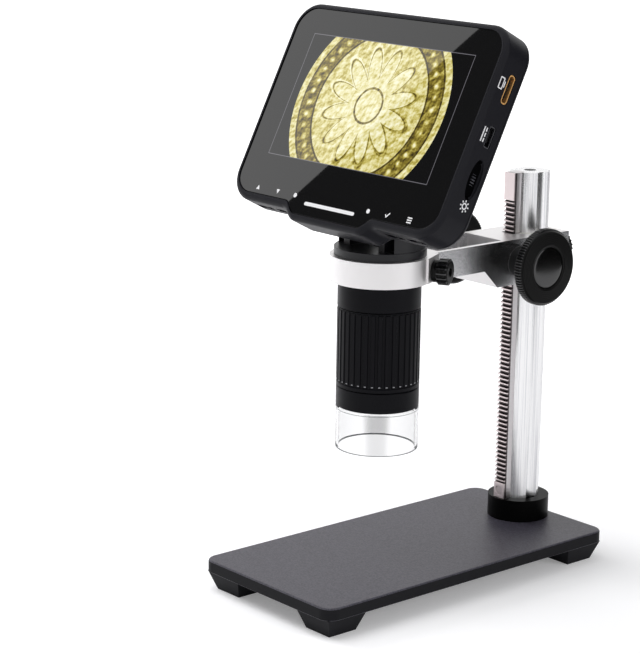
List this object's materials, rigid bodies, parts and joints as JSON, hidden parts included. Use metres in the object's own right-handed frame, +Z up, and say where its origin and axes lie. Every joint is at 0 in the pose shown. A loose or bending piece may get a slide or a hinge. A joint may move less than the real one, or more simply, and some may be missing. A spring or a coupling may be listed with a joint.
{
  "type": "lcd digital microscope",
  "caption": "Desk microscope: tilting screen on a camera barrel with a fluted sleeve and clear shroud, clamped in an arm that a rack and pinion raises on a column.",
  "frame": {"origin": "on the floor under the middle of the whole outline: the middle of the width, and halfway from the base plate's front edge to the back of the rear lock knob", "axes": "+X to the right of the user who faces the screen, +Y away from the user towards the column, +Z up"},
  "size_m": [0.125, 0.1676, 0.2382],
  "materials": {
    "base_paint": "fine textured powder coat",
    "foot_plastic": "moulded, fine grain",
    "steel_screws": "plain",
    "black_anodised": "black anodised, satin",
    "bright_aluminium": "satin anodised",
    "cast_aluminium": "fine shot-blasted casting",
    "rack_steel": "milled teeth",
    "acetal": "moulded",
    "bush_brass": "turned",
    "knob_plastic": "moulded, satin",
    "insert_gloss": "polished",
    "barrel_plastic": "moulded, satin",
    "clear_acrylic": "clear moulded acrylic",
    "lens_glass": "polished",
    "board_green": "solder mask",
    "board_white": "white solder mask",
    "led_yellow": "clear moulded",
    "chip_grey": "moulded",
    "housing_plastic": "moulded, fine matte",
    "screen_glass": "polished cover glass, back printed black",
    "panel_steel": "pressed frame",
    "battery_wrap": "film wrapped",
    "gold_plate": "gold plated",
    "socket_steel": "plated",
    "key_plastic": "moulded"
  },
  "bodies": {
    "stand": {"base_plate": "base_paint", "base_feet": "foot_plastic", "foot_screws": "steel_screws", "column_collar": "black_anodised", "collar_screw": "steel_screws", "column": "bright_aluminium", "column_bolt": "steel_screws", "rack": "rack_steel", "rack_screws": "steel_screws"},
    "carriage": {"arm_bracket": "cast_aluminium", "guide_liners": "acetal", "shaft_bushes": "bush_brass"},
    "pinion": {"pinion_shaft": "rack_steel", "knob_right": "knob_plastic", "knob_left": "knob_plastic", "knob_insert_right": "insert_gloss", "knob_insert_left": "insert_gloss"},
    "lock": {"lock_knob": "knob_plastic", "lock_screw": "steel_screws"},
    "clamp": {"clamp_knob": "knob_plastic", "clamp_screw": "steel_screws"},
    "head": {"barrel_tube": "barrel_plastic", "nose_ring": "barrel_plastic", "shroud": "clear_acrylic", "lens_cell": "barrel_plastic", "objective_lens": "lens_glass", "lamp_board": "board_white", "lamp_leds": "led_yellow", "sensor_board": "board_green", "image_sensor": "chip_grey", "head_cup": "barrel_plastic", "hinge_pin": "steel_screws"},
    "sleeve": {"focus_sleeve": "barrel_plastic"},
    "screen": {"hinge_knuckle": "housing_plastic", "hinge_screws": "steel_screws", "front_shell": "housing_plastic", "rear_cover": "housing_plastic", "shell_screws": "steel_screws", "cover_glass": "screen_glass", "lcd_panel": "panel_steel", "main_board": "board_green", "battery": "battery_wrap", "hdmi_socket": "gold_plate", "usb_socket": "socket_steel", "card_slot": "socket_steel", "key_switches": "socket_steel", "wheel_post": "socket_steel"},
    "up_key": {"key_up": "key_plastic"},
    "down_key": {"key_down": "key_plastic"},
    "ok_key": {"key_ok": "key_plastic"},
    "menu_key": {"key_menu": "key_plastic"},
    "light_dial": {"light_wheel": "knob_plastic"}
  },
  "joints": [
    {"name": "focus_slide", "type": "slide", "parent": "stand", "child": "carriage", "axis": [0, 0, 1], "range_m": [-0.042, 0.02]},
    {"name": "pinion_turn", "type": "hinge", "parent": "carriage", "child": "pinion", "pos_m": [0, 0.04482, 0.13215], "axis": [1, 0, 0], "range_deg": [-202, 422]},
    {"name": "lock_turn", "type": "hinge", "parent": "carriage", "child": "lock", "pos_m": [0, 0.07735, 0.13215], "axis": [0, 1, 0], "range_deg": [-180, 180]},
    {"name": "clamp_turn", "type": "hinge", "parent": "carriage", "child": "clamp", "pos_m": [0.01681, -0.00974, 0.1358], "axis": [0.891, 0.454, 0], "range_deg": [-180, 180]},
    {"name": "head_swivel", "type": "hinge", "parent": "carriage", "child": "head", "pos_m": [0, -0.02385, 0.136], "axis": [0, 0, 1], "range_deg": [-30, 30]},
    {"name": "focus_turn", "type": "hinge", "parent": "head", "child": "sleeve", "pos_m": [0, -0.02385, 0.1], "axis": [0, 0, 1], "range_deg": [-150, 150]},
    {"name": "screen_tilt", "type": "hinge", "parent": "head", "child": "screen", "pos_m": [0, -0.02645, 0.1613], "axis": [1, 0, 0], "range_deg": [-30, 8]},
    {"name": "up_press", "type": "slide", "parent": "screen", "child": "up_key", "axis": [0, 0.454, 0.891], "range_m": [0, 0.0006], "stiffness_N_per_m": 600},
    {"name": "down_press", "type": "slide", "parent": "screen", "child": "down_key", "axis": [0, 0.454, 0.891], "range_m": [0, 0.0006], "stiffness_N_per_m": 600},
    {"name": "ok_press", "type": "slide", "parent": "screen", "child": "ok_key", "axis": [0, 0.454, 0.891], "range_m": [0, 0.0006], "stiffness_N_per_m": 600},
    {"name": "menu_press", "type": "slide", "parent": "screen", "child": "menu_key", "axis": [0, 0.454, 0.891], "range_m": [0, 0.0006], "stiffness_N_per_m": 600},
    {"name": "light_turn", "type": "hinge", "parent": "screen", "child": "light_dial", "pos_m": [0.0546, -0.03367, 0.18182], "axis": [0, -0.891, 0.454], "range_deg": [-135, 135]}
  ],
  "couplings": [
    {"joint": "pinion_turn", "follows": "focus_slide", "rad_per_m": -174.53}
  ]
}
